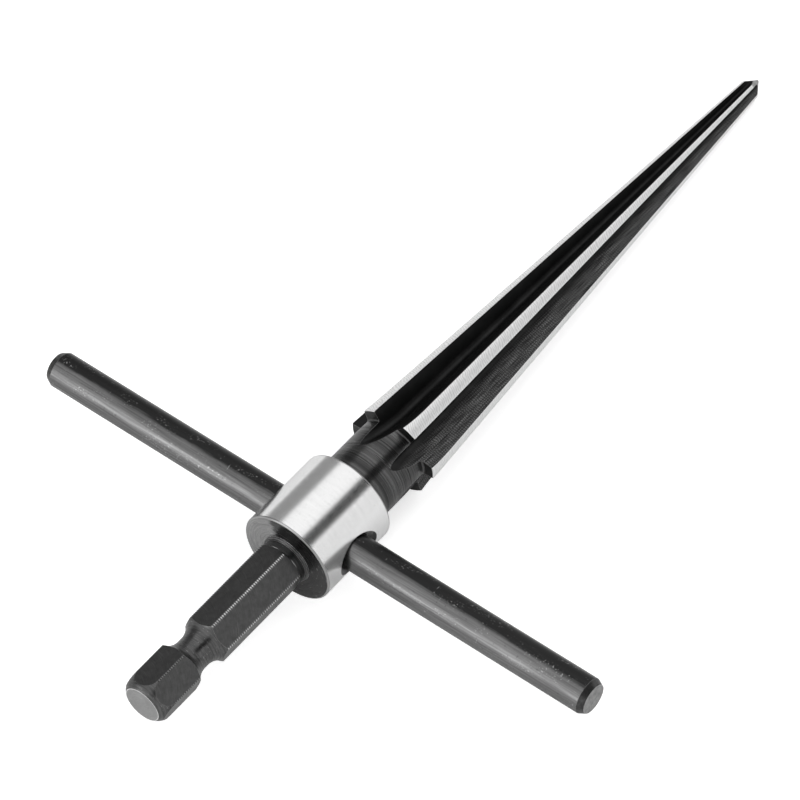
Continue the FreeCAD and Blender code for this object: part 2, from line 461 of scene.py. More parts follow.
def cornerSteel(name, look):
    # The hexagon's corners, turned before the flats were milled, with teeth of bare metal
    material, tree, shader = startMaterial(name)
    place = placeGroup(tree, toolCoordinates)
    teeth, behind = cornerTeeth(tree, place, 0.3)
    wear = placeGroup(tree, mottle, Spot=place["Spot"], Size=2.5, Share=0.5)
    edge = placeGroup(tree, wornEdge, Width=0.03, Spot=place["Spot"], Breakup=0.0)
    bare = times(tree, teeth, remap(tree, wear["Tone"], 0.0, 1.0, 0.45, 1.0))
    colour = betweenTones(tree, times(tree, bare, behind), look)
    setFinish(tree, shader, colour, teeth, edge, look)
    return material


landLook = {
    "dark": 0.66, "light": 0.98, "worn": 1.0, "pitch": 0.36, "slant": 0.45, "metal": 0.5, "pit": 0.5,
    "pitTone": 0.05, "edge": 0.95, "edgeWidth": 0.14, "roughness": 0.32, "depth": 0.004, "relief": 0.25,
}


def landSteel(name, look):
    # The teeth's lands, ground bright: short slanted strokes, and a few dark pits
    material, tree, shader = startMaterial(name)
    shader.inputs["Metallic"].default_value = look["metal"]
    place = placeGroup(tree, toolCoordinates)
    across = plus(tree, place["Station"], times(tree, place["Arc"], look["slant"]))
    along = calculate(tree, "SUBTRACT", place["Arc"], times(tree, place["Station"], look["slant"]))
    strokes = placeGroup(tree, feedMarks, Across=across, Along=times(tree, along, 0.8),
                         Pitch=look["pitch"], Jitter=2.2)
    breaks = placeGroup(tree, toolMarks, Across=across, Along=along, Pitch=0.3, Length=0.8, Contrast=2.5,
                        Seed=4.0)
    pits = placeGroup(tree, mottle, Spot=place["Spot"], Size=0.35, Share=0.12)
    edge = placeGroup(tree, wornEdge, Width=look["edgeWidth"], Spot=place["Spot"], Breakup=0.15)
    tone = plus(tree, times(tree, strokes["Marks"], 0.6), times(tree, breaks["Marks"], 0.4))
    colour = layered(tree, betweenTones(tree, tone, look), [
        (look["pit"], pits["Mask"], look["pitTone"]),
        (look["edge"], edge["Mask"], look["worn"]),
    ])
    setFinish(tree, shader, colour, tone, edge, look)
    return material


fluteLook = {
    "dark": 0.02, "light": 0.035, "back": 0.17, "worn": 0.35, "strokePitch": 0.36, "streakPitch": 0.26,
    "backStart": 24.0, "backFull": 40.0, "edge": 0.5, "edgeWidth": 0.08, "roughness": 0.36,
    "depth": 0.006, "relief": 0.35,
}


def fluteSteel(name, look):
    # Milled flutes under black oxide: smooth floors, and cross-hatched backs behind each tooth
    material, tree, shader = startMaterial(name)
    place = placeGroup(tree, toolCoordinates)
    strokes = placeGroup(tree, feedMarks, Across=place["Station"], Along=times(tree, place["Arc"], 0.9),
                         Pitch=look["strokePitch"], Jitter=1.6)
    streaks = placeGroup(tree, toolMarks, Across=place["Arc"], Along=place["Station"],
                         Pitch=look["streakPitch"], Length=4.0, Contrast=3.5, Seed=8.0)
    patches = placeGroup(tree, mottle, Spot=place["Spot"], Size=3.0, Share=0.4)
    flecks = placeGroup(tree, mottle, Spot=place["Spot"], Size=0.4, Share=0.3)
    edge = placeGroup(tree, wornEdge, Width=look["edgeWidth"], Spot=place["Spot"], Breakup=0.6)
    pastTooth = calculate(tree, "FLOORED_MODULO", plus(tree, place["Turn"], -cutter["turn"]), pitchAngle)
    onBack = remap(tree, pastTooth, look["backStart"], look["backFull"])
    hatch = times(tree, plus(tree, times(tree, strokes["Marks"], 0.75), 0.25), streaks["Marks"])
    floor = betweenTones(tree, times(tree, streaks["Broad"], patches["Tone"]), look)
    colour = layered(tree, floor, [
        (1.0, times(tree, onBack, hatch), look["back"]),
        (0.3, flecks["Mask"], look["back"] * 1.5),
        (look["edge"], edge["Mask"], look["worn"]),
    ])
    setFinish(tree, shader, colour, times(tree, hatch, onBack), edge, look)
    return material


# Shank: rings of one flat part and one turned corner part on each side of the hexagon

shank = {
    "acrossFlats": 6.35,
    "cornerBreak": 0.06,
    "turn": 47.3,
    "endRoundRadius": 2.75,
    "endRoundLength": 2.1,
    "grooveDiameter": 4.7,
    "grooveRadius": 2.9,
    "grooveStation": 9.5,
    "grooveFloor": 0.55,
    "flatRunout": 0.35,
    "reliefStart": 26.9,
    "reliefEnd": 27.9,
    "reliefMargin": 0.06,
    "collarBreak": 0.1,
    "teethStart": 11.0,
    "teethFull": 13.0,
}
flatSteps = 20
cornerSteps = columnCount // 6 - flatSteps
apothem = shank["acrossFlats"] / 2
cornerRadius = shank["acrossFlats"] / math.sqrt(3) - shank["cornerBreak"]
reliefRadius = apothem + shank["reliefMargin"]


def shankRing(station, radius, flats=True):
    evenHalf = 30 * flatSteps / (flatSteps + cornerSteps)
    flatHalf = math.degrees(math.acos(min(1, apothem / radius))) if flats else evenHalf
    spots = []
    for side in range(6):
        middle = shank["turn"] + 30 + 60 * side
        for step in range(flatSteps):
            offset = flatHalf * (2 * step / flatSteps - 1)
            reach = min(radius, apothem / math.cos(math.radians(offset))) if flats else radius
            spots.append((station, reach, middle + offset))
        for step in range(cornerSteps):
            spots.append((station, radius, middle + flatHalf + (60 - 2 * flatHalf) * step / cornerSteps))
    return [(x, reach * math.cos(math.radians(angle)), reach * math.sin(math.radians(angle)))
            for x, reach, angle in spots]


def shankOutline():
    # Station and turned radius, with close steps where the flats begin
    def onEnd(radius):
        rise = radius - (cornerRadius - shank["endRoundRadius"])
        return shank["endRoundLength"] - math.sqrt(max(0, shank["endRoundRadius"] ** 2 - rise ** 2))

    def onGroove(radius, side):
        rise = shank["grooveDiameter"] / 2 + shank["grooveRadius"] - radius
        reach = math.sqrt(max(0, shank["grooveRadius"] ** 2 - rise ** 2))
        return shank["grooveStation"] + (reach + shank["grooveFloor"] if side > 0 else -reach)

    widest = math.sqrt(cornerRadius ** 2 - apothem ** 2)
    flatRadii = [math.hypot(apothem, width) for width in np.linspace(0, widest, 14)]
    faceRadius = (cornerRadius - shank["endRoundRadius"]
                  + math.sqrt(shank["endRoundRadius"] ** 2 - shank["endRoundLength"] ** 2))
    waist = shank["grooveDiameter"] / 2
    waistRadii = [waist + (apothem - waist) * share ** 2 for share in np.linspace(1, 0, 14)]
    outline = [(onEnd(radius), radius) for radius in np.linspace(faceRadius, apothem, 8)[:-1]]
    outline += [(onEnd(radius), radius) for radius in flatRadii]
    outline += [(onGroove(radius, -1), radius) for radius in flatRadii[::-1]]
    outline += [(onGroove(radius, -1), radius) for radius in waistRadii[1:]]
    outline += [(onGroove(radius, 1), radius) for radius in waistRadii[::-1]]
    outline += [(onGroove(radius, 1), radius) for radius in flatRadii[1:]]
    runoutStart = shank["reliefStart"] - shank["flatRunout"]
    slope = shank["flatRunout"] / (cornerRadius - reliefRadius)
    for width in np.linspace(widest, math.sqrt(reliefRadius ** 2 - apothem ** 2), 8):
        radius = math.hypot(apothem, width)
        outline.append((runoutStart + (cornerRadius - radius) * slope, radius))
    return outline


def addShank(mesh):
    onFlat = [finishNumber["shankFlat"]] * flatSteps
    sides = (onFlat + [finishNumber["shankTurned"]] * cornerSteps) * 6
    straightSides = (onFlat + [finishNumber["shankCorner"]] * cornerSteps) * 6
    outline = shankOutline()
    placed = [addRing(mesh, shankRing(station, radius)) for station, radius in outline]
    for number in range(len(placed) - 1):
        straight = min(outline[number][1], outline[number + 1][1]) > cornerRadius - 0.001
        bridge(mesh, placed[number], placed[number + 1], straightSides if straight else sides)
    capRing(mesh, placed[0], finishNumber["shankEnd"])
    collarStart = shank["reliefEnd"]
    collarBreak = shank["collarBreak"]
    turned = [
        (shank["reliefStart"], reliefRadius),
        (collarStart, reliefRadius),
        (collarStart, cornerRadius - collarBreak),
        (collarStart + collarBreak, cornerRadius),
        (hub["start"], cornerRadius),
    ]
    lateRings = addRings(mesh, [shankRing(station, radius, flats=False) for station, radius in turned],
                         finishNumber["shankTurned"])
    bridge(mesh, placed[-1], lateRings[0], finishNumber["shankTurned"])
    return lateRings[-1]


# Hub: two patches round the hole's flared mouths, unrolled from one rectangle each

hub = {
    "start": 28.2,
    "end": 40.65,
    "radius": 6.8,
    "edgeBreak": 0.25,
    "flareWidth": 1.1,
    "flareAngle": 118.0,
    "borderSteps": 24,
    "patchRings": 14,
}
flareTangent = math.tan(math.radians(hub["flareAngle"] / 2))
throatReach = hub["radius"] - hub["flareWidth"] / flareTangent
hubAngles = [-90 + 360 * step / columnCount for step in range(columnCount)]


def mouthRadius(direction):
    # Where the flare, at this direction round the hole, meets the hub's round outside
    low = holeRadius
    high = holeRadius + 2 * hub["flareWidth"]
    for _ in range(40):
        middle = (low + high) / 2
        height = middle * math.sin(direction) - bar["drop"]
        reach = math.sqrt(hub["radius"] ** 2 - height ** 2)
        if middle - holeRadius < (reach - throatReach) * flareTangent:
            low = middle
        else:
            high = middle
    return low


def hubBorder():
    # Station and angle round the rectangle that one mouth's patch fills
    front = hub["start"] + hub["edgeBreak"]
    back = hub["end"] - hub["edgeBreak"]
    half = columnCount // 2
    angles = np.linspace(-90, 90, half + 1)
    stations = np.linspace(front, back, hub["borderSteps"] + 1)
    border = [(front, angle) for angle in angles[:-1]]
    border += [(station, 90) for station in stations[:-1]]
    border += [(back, angle) for angle in angles[:0:-1]]
    border += [(station, -90) for station in stations[:0:-1]]
    return border


def addMouth(mesh, side):
    size = hub["radius"]
    holeAngle = math.degrees(math.asin(-bar["drop"] / size))
    border = hubBorder()
    directions = [math.atan2(math.radians(angle - holeAngle) * size, station - barStation)
                  for station, angle in border]
    mouth = []
    for direction in directions:
        radius = mouthRadius(direction)
        height = radius * math.sin(direction) - bar["drop"]
        mouth.append((barStation + radius * math.cos(direction), math.degrees(math.asin(height / size))))

    def onHub(spots):
        return [(station, side * size * math.cos(math.radians(angle)), size * math.sin(math.radians(angle)))
                for station, angle in spots]

    rings = []
    for share in np.linspace(0, 1, hub["patchRings"] + 1) ** 1.4:
        between = [(inner[0] + (outer[0] - inner[0]) * share, inner[1] + (outer[1] - inner[1]) * share)
                   for inner, outer in zip(mouth, border)]
        rings.append(onHub(between))
    patch = addRings(mesh, rings, finishNumber["hubGround"])
    throat = []
    for direction, spot in zip(directions, rings[0]):
        reach = min(throatReach, abs(spot[1]))
        throat.append((barStation + holeRadius * math.cos(direction), side * reach,
                       holeRadius * math.sin(direction) - bar["drop"]))
    bore = [(x, side * hub["radius"] / 2, z) for x, y, z in throat]
    inner = addRings(mesh, [throat, bore], finishNumber["mouth"])
    bridge(mesh, patch[0], inner[0], finishNumber["mouth"])
    return inner[-1]


def addHub(mesh, collarRing):
    edge = hub["edgeBreak"]
    outer = hub["radius"]
    frontRound = quarterRound((hub["start"], outer - edge), (hub["start"] + edge, outer),
                              (hub["start"] + edge, outer - edge), 4)
    frontFace = [(hub["start"], radius) for radius in np.linspace(cornerRadius, outer - edge, 7)[1:]]
    front = addRings(mesh, [aroundX(station, radius, hubAngles) for station, radius in frontFace],
                     finishNumber["hubFace"])
    addRings(mesh, [aroundX(station, radius, hubAngles) for station, radius in frontRound],
             finishNumber["hubEdge"])
    collarSpots = [mesh["spots"][index] for index in collarRing]
    matched = addRing(mesh, turnedToMatch(np.array(collarSpots), mesh["spots"][front[0][0]:]))
    bridge(mesh, matched, front[0], finishNumber["hubFace"])
    bores = [addMouth(mesh, side) for side in (1, -1)]
    bridge(mesh, bores[0], bores[1], finishNumber["mouth"])
    backRound = quarterRound((hub["end"] - edge, outer), (hub["end"], outer - edge),
                             (hub["end"] - edge, outer - edge), 4)
    addRings(mesh, [aroundX(station, radius, hubAngles) for station, radius in backRound],
             finishNumber["hubEdge"])
    backFace = [(hub["end"], radius) for radius in np.linspace(outer - edge, neck["radius"], 5)]
    back = addRings(mesh, [aroundX(station, radius, hubAngles) for station, radius in backFace],
                    finishNumber["hubFace"])
    return back[-1]


# Neck and cutter: rings that follow the lands and the flutes, and the flutes' run-out into the neck

neck = {"radius": 5.05, "fillet": 0.3}
cutter = {
    "start": 49.7,
    "end": 127.7,
    "pointEnd": 130.0,
    "largeRadius": 6.65,
    "smallRadius": 1.6,
    "pointRadius": 0.15,
    "edgeBreak": 0.1,
    "teeth": 6,
    "turn": -2.0,
    "landWidth": 1.8,
    "floorRadius": 0.9,
    "backRadius": 10.0,
    "backAngle": 68.0,
    "wheelRadius": 28.0,
    "fullDepthLead": 4.7,
    "overrun": 1.0,
}
scoopMargin = 0.15
cutterSteps = {"late": 6, "land": 8, "early": 6, "floor": 20}
fullDepth = cutter["start"] + cutter["fullDepthLead"]
pitchAngle = 360 / cutter["teeth"]


def cutterRadiusAt(station):
    share = (station - cutter["start"]) / (cutter["end"] - cutter["start"])
    return cutter["largeRadius"] + (cutter["smallRadius"] - cutter["largeRadius"]) * share


def fluteOutline(count=900):
    # One flute beside a tooth that points along U: flat cutting face, round floor, hollow back
    large = cutter["largeRadius"]
    face = cutter["landWidth"] / 2
    landHalf = math.degrees(math.asin(face / large))
    heelAngle = math.radians(pitchAngle - landHalf)
    heel = np.array((large * math.cos(heelAngle), large * math.sin(heelAngle)))
    toCentre = math.radians(cutter["backAngle"] - 90)
    backCentre = heel + cutter["backRadius"] * np.array((math.cos(toCentre), math.sin(toCentre)))
    between = cutter["backRadius"] - cutter["floorRadius"]
    rise = face + cutter["floorRadius"] - backCentre[1]
    floorReach = backCentre[0] - math.sqrt(between ** 2 - rise ** 2)
    floorCentre = np.array((floorReach, face + cutter["floorRadius"]))
    joinAngle = 180 - math.degrees(math.asin(rise / between))
    floorTurns = np.radians(np.linspace(270, joinAngle, count // 3))
    backTurns = np.radians(np.linspace(joinAngle, cutter["backAngle"] + 90, count // 3))
    faceU = np.linspace(large + cutter["overrun"], floorCentre[0], count // 6)
    onFace = np.column_stack((faceU, np.full(len(faceU), face)))
    onFloor = floorCentre + cutter["floorRadius"] * np.column_stack((np.cos(floorTurns), np.sin(floorTurns)))
    onBack = backCentre + cutter["backRadius"] * np.column_stack((np.cos(backTurns), np.sin(backTurns)))
    outward = math.radians(cutter["backAngle"])
    past = np.linspace(0, cutter["overrun"], count // 6)[:, None]
    beyond = heel + past * np.array((math.cos(outward), math.sin(outward)))
    return np.vstack((onFace, onFloor[1:], onBack[1:], beyond[1:]))


fluteSpots = fluteOutline()
fluteLengths = np.concatenate(([0], np.cumsum(np.hypot(*np.diff(fluteSpots, axis=0).T))))
fluteShares = fluteLengths / fluteLengths[-1]


def fluteAt(station):
    # The flute's outline at a station. Before its full depth it is lifted by the wheel's round
    spots = fluteSpots * cutterRadiusAt(max(station, fullDepth)) / cutter["largeRadius"]
    if station < fullDepth:
        wheelHeight = spots[:, 0].min() + cutter["wheelRadius"]
        lifted = np.maximum((wheelHeight - spots[:, 0]) ** 2 - (fullDepth - station) ** 2, 0)
        spots = np.column_stack((wheelHeight - np.sqrt(lifted), spots[:, 1]))
    return spots


def crossings(spots, radius):
    # The two shares of the outline at which it leaves the metal of this radius
    reach = np.hypot(spots[:, 0], spots[:, 1])
    lowest = int(np.argmin(reach))
    if reach[lowest] >= radius:
        return fluteShares[lowest], fluteShares[lowest]
    first = np.interp(-radius, -reach[:lowest + 1], fluteShares[:lowest + 1])
    second = np.interp(radius, reach[lowest:], fluteShares[lowest:])
    return first, second


fluteSplit = crossings(fluteAt(cutter["start"]), neck["radius"] + neck["fillet"])


def cutterRing(station, radius, toothed):
    # Each pitch: end of the last flute, land, start of the next flute, and its floor
    spots = fluteAt(station)
    first, last = crossings(spots, radius)
    splitFirst = max(fluteSplit[0], first) if toothed else first
    splitLast = min(fluteSplit[1], last) if toothed else last
    splitLast = max(splitLast, splitFirst)

    def onFlute(start, end, steps):
        shares = np.linspace(start, end, steps + 1)[:-1]
        return np.column_stack([np.interp(shares, fluteShares, spots[:, axis]) for axis in (0, 1)])

    def angleOf(share):
        u, v = (np.interp(share, fluteShares, spots[:, axis]) for axis in (0, 1))
        return math.atan2(v, u)

    def onCircle(start, end, steps):
        turns = np.linspace(start, end, steps + 1)[:-1]
        return radius * np.column_stack((np.cos(turns), np.sin(turns)))

    def turnedBy(local, angle):
        turn = math.radians(angle)
        along = local[:, 0] * math.cos(turn) - local[:, 1] * math.sin(turn)
        beside = local[:, 0] * math.sin(turn) + local[:, 1] * math.cos(turn)
        return np.column_stack((np.full(len(local), station), along, beside))

    landStart = angleOf(last) - math.radians(pitchAngle)
    landEnd = angleOf(first)
    floor = onFlute(splitFirst, splitLast, cutterSteps["floor"])
    if toothed:
        late = turnedBy(onFlute(splitLast, last, cutterSteps["late"]), -pitchAngle)[:, 1:]
        land = onCircle(landStart, landEnd, cutterSteps["land"])
        early = onFlute(first, splitFirst, cutterSteps["early"])
        pitch = np.vstack((late, land, early, floor))
    else:
        steps = cutterSteps["late"] + cutterSteps["land"] + cutterSteps["early"]
        pitch = np.vstack((onCircle(landStart, landEnd, steps), floor))
    # Close to the point the flutes would reach past the cone, so each spot stays within it
    pitch = pitch * np.minimum(1, radius / np.hypot(*pitch.T))[:, None]
    turns = [cutter["turn"] + pitchAngle * tooth for tooth in range(cutter["teeth"])]
    return np.vstack([turnedBy(pitch, turn) for turn in turns])


def scoopStart():
    # The station at which a flute's run-out first touches the neck
    low = hub["end"]
    high = cutter["start"]
    for _ in range(40):
        middle = (low + high) / 2
        if np.hypot(*fluteAt(middle).T).min() < neck["radius"]:
            high = middle
        else:
            low = middle
    return high


def addCutter(mesh, hubRing):
    flute = finishNumber["fluteMilled"]
    steps = cutterSteps
    around = steps["late"] + steps["land"] + steps["early"]
    teeth = cutter["teeth"]
    onNeck = ([finishNumber["neckTurned"]] * around + [flute] * steps["floor"]) * teeth
    onEnds = ([finishNumber["toothEnd"]] * around + [flute] * steps["floor"]) * teeth
    onCone = ([flute] * steps["late"] + [finishNumber["landGround"]] * steps["land"]
              + [flute] * (steps["early"] + steps["floor"])) * teeth
    start = cutter["start"]
    filletStart = start - neck["fillet"]
    scoop = scoopStart()
    evenAngles = [cutter["turn"] + 360 * step / columnCount for step in range(columnCount)]
    plainStations = np.linspace(hub["end"], scoop - scoopMargin, 12)
    plain = [aroundX(station, neck["radius"], evenAngles) for station in plainStations]
    plainRings = addRings(mesh, plain, finishNumber["neckTurned"])
    hubSpots = np.array([mesh["spots"][index] for index in hubRing])
    matched = addRing(mesh, turnedToMatch(hubSpots, plain[0]))
    bridge(mesh, matched, plainRings[0], finishNumber["neckTurned"])
    neckStations = scoop + (filletStart - scoop) * np.linspace(0, 1, 30) ** 1.8
    fillet = quarterRound((filletStart, neck["radius"]), (start, neck["radius"] + neck["fillet"]),
                          (filletStart, neck["radius"] + neck["fillet"]), 8)
    outline = [(station, neck["radius"]) for station in neckStations] + fillet[1:]
    scooped = [cutterRing(station, radius, False) for station, radius in outline]
    scoopedRings = addRings(mesh, scooped, onNeck)
    joined = addRing(mesh, turnedToMatch(np.array(plain[-1]), scooped[0]))
    bridge(mesh, joined, scoopedRings[0], onNeck)
    endRing = addRing(mesh, cutterRing(start, cutter["largeRadius"] - cutter["edgeBreak"], True))
    bridge(mesh, scoopedRings[-1], endRing, onEnds)
    coneStations = np.concatenate((np.linspace(start + cutter["edgeBreak"], fullDepth, 20),
                                   np.linspace(fullDepth, cutter["end"], 16)[1:]))
    coneRings = [cutterRing(station, cutterRadiusAt(station), True) for station in coneStations]
    cone = addRings(mesh, coneRings, onCone)
    bridge(mesh, endRing, cone[0], onCone)
    pointRings = []
    for share in np.linspace(0, 1, 24)[1:]:
        station = cutter["end"] + (cutter["pointEnd"] - cutter["end"]) * share
        radius = cutter["smallRadius"] + (cutter["pointRadius"] - cutter["smallRadius"]) * share
        pointRings.append(cutterRing(station, radius, True))
    land = finishNumber["landGround"]
    onPoint = [finishNumber["pointTurned"] if finish == land else finish for finish in onCone]
    point = addRings(mesh, pointRings, onPoint)
    bridge(mesh, cone[-1], point[0], onPoint)
    capRing(mesh, point[-1], flute)


# Finishes of the body. Each tone is how much light the bare metal or the oxide gives back

bodyFinishes = {
    "shankFlat": (milledSteel, {
        "dark": 0.07, "light": 0.12, "bend": 0.035, "pitch": 0.16, "lines": 0.15, "edge": 0.8,
        "edgeWidth": 0.13, "breakup": 0.3, "teeth": 0.6,
    }),
    "shankCorner": (cornerSteel, cornerLook),
    "shankTurned": (turnedSteel, {"dark": 0.06, "light": 0.15, "pitch": 0.2, "spread": 0.4, "contrast": 3.0}),
    "shankEnd": (turnedSteel, {
        "across": "Radius", "dark": 0.28, "light": 0.4, "worn": 1.0, "rimStart": 2.5, "roughness": 0.4,
        "contrast": 1.5, "edge": 0.9, "edgeWidth": 0.16,
    }),
    # The front face gets a painted shade: dark from near the top round through -Y to the bottom, with a
    # ragged border
    "hubFace": (turnedSteel, {
        "across": "Radius", "dark": 0.2, "light": 0.42, "worn": 0.8, "roughness": 0.25, "spread": 0.8,
        "pitch": 0.2, "paintedShadeFrom": 68.0, "paintedShadeShare": 0.85,
    }),
    "hubGround": (turnedSteel, {
        "dark": 0.84, "light": 0.98, "worn": 1.0, "roughness": 0.24, "spread": 0.3, "pitch": 0.1,
        "contrast": 1.6, "lines": 0.1, "grain": 0.4, "grainTone": 0.5, "grainSize": 0.25, "edge": 0.1,
        "edgeWidth": 0.12,
    }),
    "hubEdge": (turnedSteel, {"dark": 0.25, "light": 0.5, "worn": 0.8, "pitch": 0.1, "edge": 0.0}),
    "mouth": (turnedSteel, {"dark": 0.03, "light": 0.08, "worn": 0.6, "edgeWidth": 0.08}),
    "neckTurned": (turnedSteel, {
        "dark": 0.025, "light": 0.14, "worn": 0.4, "pitch": 0.2, "contrast": 3.5, "ringLength": 300.0,
        "lines": 0.08, "roughness": 0.3, "depth": 0.008, "relief": 0.4,
    }),
    "toothEnd": (milledSteel, {"dark": 0.03, "light": 0.08, "worn": 0.5, "pitch": 0.25, "edge": 0.7}),
    "landGround": (landSteel, landLook),
    "fluteMilled": (fluteSteel, fluteLook),
    "pointTurned": (turnedSteel, {"dark": 0.2, "light": 0.4, "worn": 0.7, "spread": 0.2}),
}
finishNumber = {name: number for number, name in enumerate(bodyFinishes)}
bodyMaterials = [make(name, look) for name, (make, look) in bodyFinishes.items()]
print("finishes of the body made")


def makeBody():
    mesh = startMesh()
    collarRing = addShank(mesh)
    hubRing = addHub(mesh, collarRing)
    addCutter(mesh, hubRing)
    narrowing = cutter["largeRadius"] - cutter["smallRadius"]
    taper = math.atan(narrowing / (cutter["end"] - cutter["start"]))
    slopes = {"hubGround": 0.0, "neckTurned": 0.0, "landGround": taper}
    slopes = {finishNumber[name]: slope for name, slope in slopes.items()}
    body = finishMesh("reamerBody", mesh, bodyMaterials, slopes)
    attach(body, "root")
    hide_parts("reamer_body")
    return body


# Cross bar: drawn steel, with broken ends. Lead is from the hub's front face to the bar's axis

bar = {
    "lead": 6.1,
    "radius": 2.5,
    "length": 87.5,
    "endLength": 0.9,
    "endDepth": 0.45,
    "pressRoom": 0.01,
    "drop": 0.12,
    "columns": 128,
    "lengthSteps": 60,
}
holeRadius = bar["radius"] + bar["pressRoom"]
barStation = hub["start"] + bar["lead"]
barPlace = toolPlace @ Vector((barStation * millimetre, 0, -bar["drop"] * millimetre))

# The painted dark reflection along the top is given in degrees from the top, from its ragged side to its even
# side
barLook = {
    "dark": 0.09, "light": 0.25, "bandWidth": 1.3, "bandLength": 45.0, "streakWidth": 0.22,
    "streakLength": 9.0, "pitTone": 0.02, "fleckTone": 0.8, "pitSize": 0.38, "worn": 0.6,
    "darkReflectionTone": 0.022, "darkReflectionRagged": (-12.0, 0.0), "darkReflectionEven": (48.0, 34.0), "roughness": 0.36,
    "depth": 0.008, "relief": 0.4,
}
barEndLooks = {
    "chamfer": {"dark": 0.04, "light": 0.1, "worn": 0.7, "roughness": 0.35},
    "sawn": {"dark": 0.2, "light": 0.34, "worn": 0.8, "roughness": 0.42},
}


def drawnSteel(name, look):
    material, tree, shader = startMaterial(name)
    place = placeGroup(tree, toolCoordinates)
    x, y, z = addNode(tree, "ShaderNodeSeparateXYZ", {0: place["Spot"]}).outputs
    fromTop = calculate(tree, "ARCTAN2", plus(tree, x, -barStation), plus(tree, z, bar["drop"]))
    around = times(tree, fromTop, bar["radius"])
    bands = placeGroup(tree, toolMarks, Across=around, Along=y, Pitch=look["bandWidth"],
                       Length=look["bandLength"], Contrast=2.2, Seed=21.0)
    streaks = placeGroup(tree, toolMarks, Across=around, Along=y, Pitch=look["streakWidth"],
                         Length=look["streakLength"], Contrast=2.4, Seed=11.0)
    unrolled = combine(tree, around, times(tree, y, 0.3), 0.0)
    moved = vectorMath(tree, "ADD", place["Spot"], (40.0, 9.0, 3.0))[0]
    pitted = placeGroup(tree, mottle, Spot=unrolled, Size=2.0, Share=0.75)
    pits = placeGroup(tree, mottle, Spot=place["Spot"], Size=look["pitSize"], Share=0.45)
    flecks = placeGroup(tree, mottle, Spot=moved, Size=look["pitSize"] * 0.7, Share=0.55)
    nicks = placeGroup(tree, scratches, Across=y, Along=around, Width=0.18, Length=1.8, Share=0.12, Seed=2.0)
    edge = placeGroup(tree, wornEdge, Width=0.12, Spot=place["Spot"], Breakup=0.4)
    tone = plus(tree, times(tree, bands["Marks"], 0.4), times(tree, streaks["Marks"], 0.6))
    turn = calculate(tree, "DEGREES", fromTop)
    wander = plus(tree, times(tree, streaks["Marks"], 10.0), times(tree, pitted["Tone"], 8.0))
    # Painted dark reflection: a dark band along the bar's top, on the side toward the point
    raggedSide = remap(tree, plus(tree, turn, wander), *look["darkReflectionRagged"])
    paintedDarkReflection = times(tree, raggedSide, remap(tree, turn, *look["darkReflectionEven"]))
    pitting = plus(tree, times(tree, pitted["Tone"], 0.7), 0.3)
    colour = layered(tree, betweenTones(tree, tone, look), [
        (0.95, paintedDarkReflection, look["darkReflectionTone"]),
        (0.8, times(tree, pits["Mask"], pitting), look["pitTone"]),
        (0.55, times(tree, flecks["Mask"], pitted["Mask"]), look["fleckTone"]),
        (0.6, nicks["Mask"], look["worn"]),
        (0.7, edge["Mask"], look["worn"]),
    ])
    setFinish(tree, shader, colour, tone, edge, look)
    spreadLight(tree, shader, 0.3, toolY, barPlace, False)
    return material


def barEndSteel(name, changes):
    look = {**barLook, **changes}
    material, tree, shader = startMaterial(name)
    place = placeGroup(tree, toolCoordinates)
    grain = placeGroup(tree, mottle, Spot=place["Spot"], Size=0.5, Share=0.3)
    edge = placeGroup(tree, wornEdge, Width=0.14, Spot=place["Spot"], Breakup=0.3)
    bare = betweenTones(tree, grain["Tone"], look)
    colour = layered(tree, bare, [(0.9, edge["Mask"], look["worn"])])
    setFinish(tree, shader, colour, grain["Tone"], edge, look)
    return material


def makeBar():
    half = bar["length"] / 2
    endRadius = bar["radius"] - bar["endDepth"]
    shoulder = half - bar["endLength"]
    turns = [math.tau * step / bar["columns"] for step in range(bar["columns"])]
    outline = [(-half, endRadius)]
    outline += [(y, bar["radius"]) for y in np.linspace(-shoulder, shoulder, bar["lengthSteps"])]
    outline.append((half, endRadius))
    mesh = startMesh()
    placed = [addRing(mesh, [(barStation + radius * math.cos(turn), y, radius * math.sin(turn) - bar["drop"])
                             for turn in turns]) for y, radius in outline]
    for ringA, ringB in zip(placed, placed[1:]):
        bridge(mesh, ringA, ringB, 1 if ringA is placed[0] or ringB is placed[-1] else 0)
    capRing(mesh, placed[0], 2)
    capRing(mesh, placed[-1], 2)
    finishes = [drawnSteel("drawn steel", barLook)]
    finishes += [barEndSteel("bar " + name, look) for name, look in barEndLooks.items()]
    piece = finishMesh("crossBar", mesh, finishes, None)
    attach(piece, "root")
    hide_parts("cross_bar")
    return piece


reamerBody = makeBody()
print("body made:", len(reamerBody.data.polygons), "faces")
crossBar = makeBar()
print("cross bar made")


# Stage: a white floor that keeps a soft shadow, a white world, and cards that the metal reflects

stage = {"floorSize": 8.0, "floorTone": 0.82, "floorLift": 0.6, "worldFill": 0.65, "cardDistance": 1.6}

# Strips along X: their angle from +Y over the top, their spread, where they start and end, their tone
studioStrips = [
    {"name": "gobo-right", "along": 126, "spread": 27, "from": -1.5, "to": 1.8, "tone": 0.01},
    {"name": "back-grey", "along": 30, "spread": 44, "from": -0.9, "to": 3.0, "tone": 0.27},
    {"name": "side-grey", "along": 166, "spread": 36, "from": -3.0, "to": 3.0, "tone": 0.8},
]

# A bright card, low behind the shank's end, that the bar reflects along its whole length
keyCard = {"name": "key-light", "azimuth": 155, "elevation": 18, "width": 30, "height": 24, "tone": 3.2}


def flatPiece(name, corners, material):
    data = bpy.data.meshes.new(name)
    data.from_pydata([tuple(corner) for corner in corners], [], [(0, 1, 2, 3)])
    data.materials.append(material)
    piece = bpy.data.objects.new(name, data)
    bpy.context.scene.collection.objects.link(piece)
    return piece


